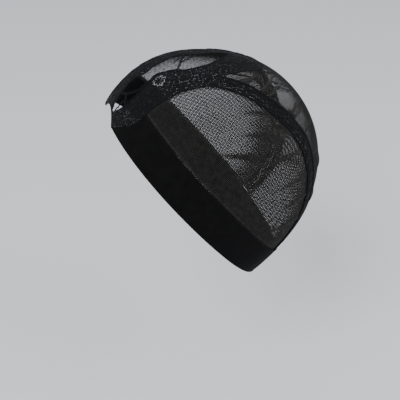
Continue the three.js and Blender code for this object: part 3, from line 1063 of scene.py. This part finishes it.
def trim_threads(name, panels):
    """The corded edges of the trims, the looped inner edge and the raised leaf outlines."""
    shell = Shell()
    for panel in panels:
        y = np.arange(0.4, panel["length"], 0.8)
        for x in (0.5, TRIM_WIDTH - 0.5):
            plane = np.stack([np.full(len(y), x), y], 1)
            plane = plane[height_above_rim(panel["place"](plane)) > NET_BASE]
            shell.lay(panel["place"](plane), TRIM_LIFT + 0.15, 0.42, sides=5)
        for at in np.arange(1.2, panel["length"] - 6, 2.1):
            bend = np.linspace(0, math.pi, 7)
            x = TRIM_WIDTH - 0.4 + 1.35 * np.sin(bend)
            p = panel["place"](np.stack([x, at + 0.8 * np.cos(bend)], 1))
            if height_above_rim(p).min() > NET_BASE + 0.5:
                shell.lay(p, TRIM_LIFT + 0.1, 0.24)
        for start in np.arange(0, panel["length"] - TRIM_LEAF, TRIM_LEAF):
            share = np.linspace(0.04, 0.96, 12)
            half = TRIM_LEAF_HALF * np.sin(math.pi * share) ** 0.8
            x = TRIM_WIDTH / 2 + np.concatenate([half, -half[::-1]])
            at = start + TRIM_LEAF * np.concatenate([share, share[::-1]])
            p = panel["place"](np.stack([x, at], 1))
            if height_above_rim(p).min() > NET_BASE + 0.5:
                lift = TRIM_LIFT + 0.5 * TRIM_DEPTH + 0.05
                shell.lay(p, lift, 0.22, closed=True, flat=0.8)
    return shell.build(name, trim_black)


trim_raised = trim_threads("trim_raised_threads", (trim_panel_left, trim_panel_right))

# ---- Elastic band -------------------------------------------------------------------------------

BAND_RIB = 1.0
BAND_THICK = 1.5


def band_ends(height):
    """The angles round the rim where the band meets the lace, at a height."""
    left = rim_angle(crown_edge_point(temple_degrees(1, SEAM_GAP, height), 1, SEAM_GAP))
    right = rim_angle(crown_edge_point(temple_degrees(-1, SEAM_GAP, height), -1, SEAM_GAP))
    return float(left), float(right) + 2 * math.pi


def elastic_band(name, columns=210):
    rows = np.linspace(0, BAND_HEIGHT, int(BAND_HEIGHT / BAND_RIB) * 3 + 1)
    ends = np.array([band_ends(h) for h in np.linspace(0, BAND_HEIGHT, 13)])
    left = np.interp(rows, np.linspace(0, BAND_HEIGHT, 13), ends[:, 0])
    right = np.interp(rows, np.linspace(0, BAND_HEIGHT, 13), ends[:, 1])
    u = np.linspace(0, 1, columns)
    angle = left[:, None] + (right - left)[:, None] * u
    p = rim_point(angle, np.broadcast_to(rows[:, None], angle.shape))
    normal = head_normal(p)
    from_edge = np.minimum(rows, BAND_HEIGHT - rows)
    rounded = np.sqrt(np.clip(from_edge / 0.8, 0, 1))
    rib = 0.10 * np.cos(2 * math.pi * rows / BAND_RIB) * np.clip(from_edge / 1.5, 0, 1)
    selvedge = 0.16 * np.exp(-(((from_edge - 1.2) / 0.8) ** 2))
    turn = 2 * math.pi * u
    wave = 0.10 * np.sin(9 * turn + 0.6) + 0.08 * np.sin(17 * turn + 2.0) + 0.05 * np.sin(31 * turn)
    wave = wave[None, :] * np.sin(math.pi * rows / BAND_HEIGHT)[:, None]
    middle = 0.25 + BAND_THICK / 2
    outer = middle + (rounded * (BAND_THICK / 2) + rib + selvedge)[:, None] + wave
    inner = (middle - rounded * (BAND_THICK / 2))[:, None] + wave
    sheets = [(p + out[..., None] * normal).reshape(-1, 3) for out in (outer, inner)]
    points = np.concatenate(sheets)
    count = len(rows) * columns
    index = np.arange(count).reshape(len(rows), columns)
    a, b, c, d = index[:-1, :-1], index[:-1, 1:], index[1:, 1:], index[1:, :-1]
    outside = np.stack([a, b, c, d], -1).reshape(-1, 4)
    inside = outside[:, ::-1] + count
    loop = np.concatenate([index[0, :-1], index[:-1, -1], index[-1, :0:-1], index[:0:-1, 0]])
    after = np.roll(loop, -1)
    rim = np.stack([after, loop, loop + count, after + count], 1)
    return make_object(name, points, np.concatenate([outside, inside, rim]).tolist(), band_black)


band = elastic_band("band_elastic")

# ---- Seams and stitches -------------------------------------------------------------------------


def zigzag(shell, line, pitch, half_width, lift, radius=0.17):
    """A zigzag of stitches along a line on the head's surface."""
    lengths = arc_lengths(line)
    count = int(lengths[-1] / pitch)
    at = np.linspace(0, lengths[-1], count + 1)
    points = np.stack([np.interp(at, lengths, line[:, k]) for k in range(3)], 1)
    normal = head_normal(points)
    along = np.gradient(points, axis=0)
    across = np.cross(normal, along)
    across /= np.linalg.norm(across, axis=1, keepdims=True)
    sign = np.where(np.arange(count + 1) % 2, 1, -1)[:, None]
    corners = points + sign * half_width * across
    arch = np.array([-0.25, 0.12, 0.12, -0.25])[:, None]
    share = np.array([0.02, 0.3, 0.7, 0.98])[:, None]
    for k in range(count):
        path = corners[k] * (1 - share) + corners[k + 1] * share + (lift + arch) * normal[k]
        shell.tube(path, np.repeat(normal[k][None], 4, 0), radius)


def seam_threads(name):
    shell = Shell()
    left, right = band_ends(BAND_HEIGHT)
    line = rim_point(np.linspace(left, right, 700), BAND_HEIGHT - 0.4)
    zigzag(shell, line, 1.5, 1.15, 1.75)
    for side in (1, -1):
        start = temple_degrees(side, 0, NET_BASE)
        line = crown_edge_point(np.linspace(start, LACE_BACK, 260), side, -0.5)
        zigzag(shell, line, 1.5, 1.0, 1.25)
        end = nape_degrees(side, 0, NET_BASE)
        degrees = np.linspace(LACE_BACK, end, 420)
        zigzag(shell, crown_edge_point(degrees, side, -0.6), 1.6, 0.9, 1.5)
        zigzag(shell, crown_edge_point(degrees[:-14], side, 0.9 - TRIM_WIDTH), 1.6, 0.8, 1.5)
        low, high = temple_degrees(side, 0, 0.6), temple_degrees(side, 0, BAND_HEIGHT)
        zigzag(shell, crown_edge_point(np.linspace(low, high, 90), side, 0.2), 1.5, 1.1, 1.75)
    across = np.linspace(-1, 1, 300)
    degrees = LACE_BACK + LOBE_BULGE * (1 - across**2)
    lobe = crown_point(degrees, lace_centre(degrees) + across * LOBE_HALF)
    zigzag(shell, lobe, 1.5, 0.9, 1.2)
    return shell.build(name, stitch_black)


def hem_cords(name):
    """Rolled edges: along the hairline, round the lobe and across the top end of each trim."""
    shell = Shell()
    angle = np.linspace(HAIR_RIGHT, HAIR_LEFT, 110)
    path = rim_point(angle, hairline_height(angle) + 0.5)
    shell.lay(path, LACE_LIFT, 0.55, sides=6)
    across = np.linspace(-1, 1, 120)
    degrees = LACE_BACK + LOBE_BULGE * (1 - across**2)
    path = crown_point(degrees - 0.2, lace_centre(degrees) + across * (LOBE_HALF - 0.3))
    shell.lay(path, LACE_LIFT + 0.1, 0.5, sides=6)
    for side in (1, -1):
        path = crown_edge_point(LACE_BACK + 0.12, side, -np.linspace(0.2, TRIM_WIDTH + 0.4, 16))
        shell.lay(path, LACE_LIFT + 0.2, 0.6, sides=6)
    return shell.build(name, lace_black)


seams = seam_threads("seam_stitches")
hems = hem_cords("hem_cords")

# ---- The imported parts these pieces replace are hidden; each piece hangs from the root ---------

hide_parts("side_net_left")
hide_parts("side_net_right")
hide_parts("back_net")
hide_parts("lace_panel")
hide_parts("back_trim_left")
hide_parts("back_trim_right")
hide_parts("elastic_band")
for piece, slot in (
    (side_left, "net"),
    (side_right, "net"),
    (back, "net"),
    (lace, "lace"),
    (lace_raised, "lace"),
    (hems, "lace"),
    (trim_left, "trim"),
    (trim_right, "trim"),
    (trim_raised, "trim"),
    (band, "band"),
    (seams, "band"),
):
    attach(piece, "root")

# ---- Floor and light ----------------------------------------------------------------------------

FLOOR_HEIGHT = -0.30


def add_stage():
    material = bpy.data.materials.new("pale_floor")
    material.use_nodes = True
    shader = next(n for n in material.node_tree.nodes if n.type == "BSDF_PRINCIPLED")
    shader.inputs["Base Color"].default_value = (0.69, 0.69, 0.72, 1)
    shader.inputs["Roughness"].default_value = 0.9
    half = 6.0
    corners = [(-half, -half), (half, -half), (half, half), (-half, half)]
    mesh = bpy.data.meshes.new("floor")
    mesh.from_pydata([(x, y, FLOOR_HEIGHT) for x, y in corners], [], [(0, 1, 2, 3)])
    mesh.materials.append(material)
    floor = bpy.data.objects.new("floor", mesh)
    bpy.context.scene.collection.objects.link(floor)


def add_area_light(name, place, aim, size, power):
    data = bpy.data.lights.new(name, "AREA")
    data.shape = "DISK"
    data.size = size
    data.energy = power
    lamp = bpy.data.objects.new(name, data)
    lamp.location = place
    lamp.rotation_mode = "QUATERNION"
    lamp.rotation_quaternion = (Vector(aim) - Vector(place)).to_track_quat("-Z", "Y")
    bpy.context.scene.collection.objects.link(lamp)


def add_world(colour, strength):
    world = bpy.data.worlds.new("studio")
    world.use_nodes = True
    background = next(n for n in world.node_tree.nodes if n.type == "BACKGROUND")
    background.inputs["Color"].default_value = (*colour, 1)
    background.inputs["Strength"].default_value = strength
    bpy.context.scene.world = world


add_stage()
LIGHT_AIM = (0, 0, -0.1)
add_area_light("key", (0.9, -0.8, 1.1), LIGHT_AIM, 0.9, 18)
add_area_light("fill", (0.6, 1.1, 0.7), LIGHT_AIM, 0.9, 7)
add_world((0.95, 0.97, 1.0), 0.98)
